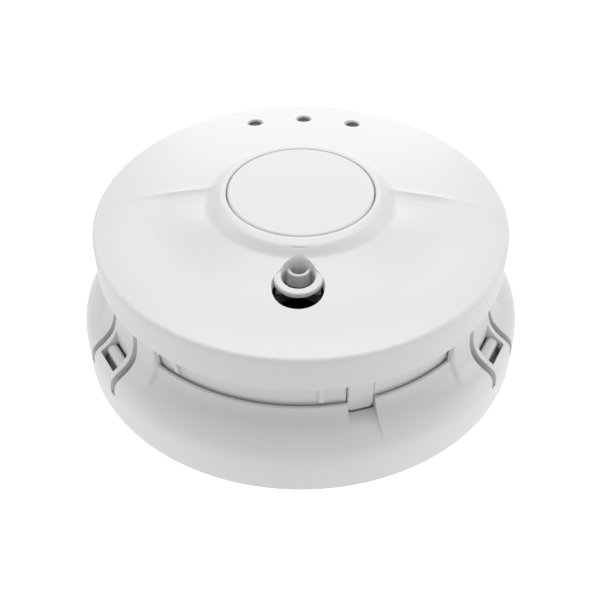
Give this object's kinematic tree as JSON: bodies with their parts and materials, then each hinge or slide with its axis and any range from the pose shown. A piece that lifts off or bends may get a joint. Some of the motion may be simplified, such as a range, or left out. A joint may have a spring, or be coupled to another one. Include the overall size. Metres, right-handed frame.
{
  "type": "smoke detector",
  "caption": "Ceiling smoke detector: a domed twist-lock head with a test button and sounder outlet, on a round wiring base with knock-out cable entries.",
  "frame": {"origin": "centre of the base's underside, on the ceiling plane", "axes": "+Z from the ceiling into the room, -Y towards the sounder outlet, +Y towards the indicator windows"},
  "size_m": [0.14, 0.14, 0.0545],
  "materials": {
    "housing_white": "satin moulded plastic",
    "inner_white": "matte moulded plastic",
    "black_plastic": "matte black moulding",
    "terminal_plastic": "matte nylon",
    "steel": "bright zinc-plated steel",
    "brass": "plain brass",
    "gold_contact": "plated contact",
    "board_green": "solder-masked laminate",
    "ceramic": "fired ceramic",
    "clear_pipe": "smoked acrylic",
    "led_body": "phosphor-filled resin",
    "emitter_clear": "clear resin",
    "receiver_dark": "infrared-pass resin",
    "cell_wrap": "shrink sleeve",
    "gasket_foam": "closed-cell foam",
    "capacitor_sleeve": "sleeved aluminium can",
    "core_steel": "laminated iron core",
    "coil_tape": "polyester tape"
  },
  "bodies": {
    "base": {"base_plate": "housing_white", "cable_guide_1": "housing_white", "cable_guide_2": "housing_white", "cable_guide_3": "housing_white", "terminal_block": "terminal_plastic", "wire_clamps": "brass", "terminal_screws": "steel", "contact_springs": "gold_contact", "cable_clamp": "inner_white", "clamp_screws": "steel"},
    "head": {"cover": "housing_white", "tub": "housing_white", "housing_screws": "steel", "button_spring": "steel", "circuit_board": "board_green", "button_switch": "black_plastic", "chamber_base": "black_plastic", "chamber_lid": "black_plastic", "insect_mesh": "steel", "infrared_emitter": "emitter_clear", "photo_receiver": "receiver_dark", "light_pipes": "clear_pipe", "indicator_leds": "led_body", "sounder_housing": "black_plastic", "sounder_disc": "brass", "sounder_ceramic": "ceramic", "sounder_gasket": "gasket_foam", "backup_cells": "cell_wrap", "cell_holder": "black_plastic", "transformer_core": "core_steel", "transformer_coil": "coil_tape", "capacitors": "capacitor_sleeve", "control_chips": "black_plastic", "contact_pads": "gold_contact"},
    "test_button": {"test_button": "housing_white", "button_plunger": "inner_white"},
    "release_tab": {"release_tab": "housing_white"}
  },
  "joints": [
    {"name": "head_twist", "type": "hinge", "parent": "base", "child": "head", "pos_m": [0, 0, 0.0155], "axis": [0, 0, 1], "range_deg": [0, 15]},
    {"name": "test_button_press", "type": "slide", "parent": "head", "child": "test_button", "axis": [0, 0, -1], "range_m": [0, 0.0012], "stiffness_N_per_m": 800, "springref_m": -0.001, "deforming": ["button_spring"]},
    {"name": "release_tab_flex", "type": "hinge", "parent": "head", "child": "release_tab", "pos_m": [0.01726, -0.05443, 0.0312], "axis": [0.9532, 0.3024, 0], "range_deg": [0, 8], "stiffness_Nm_per_rad": 0.05, "springref_deg": -5.73}
  ]
}
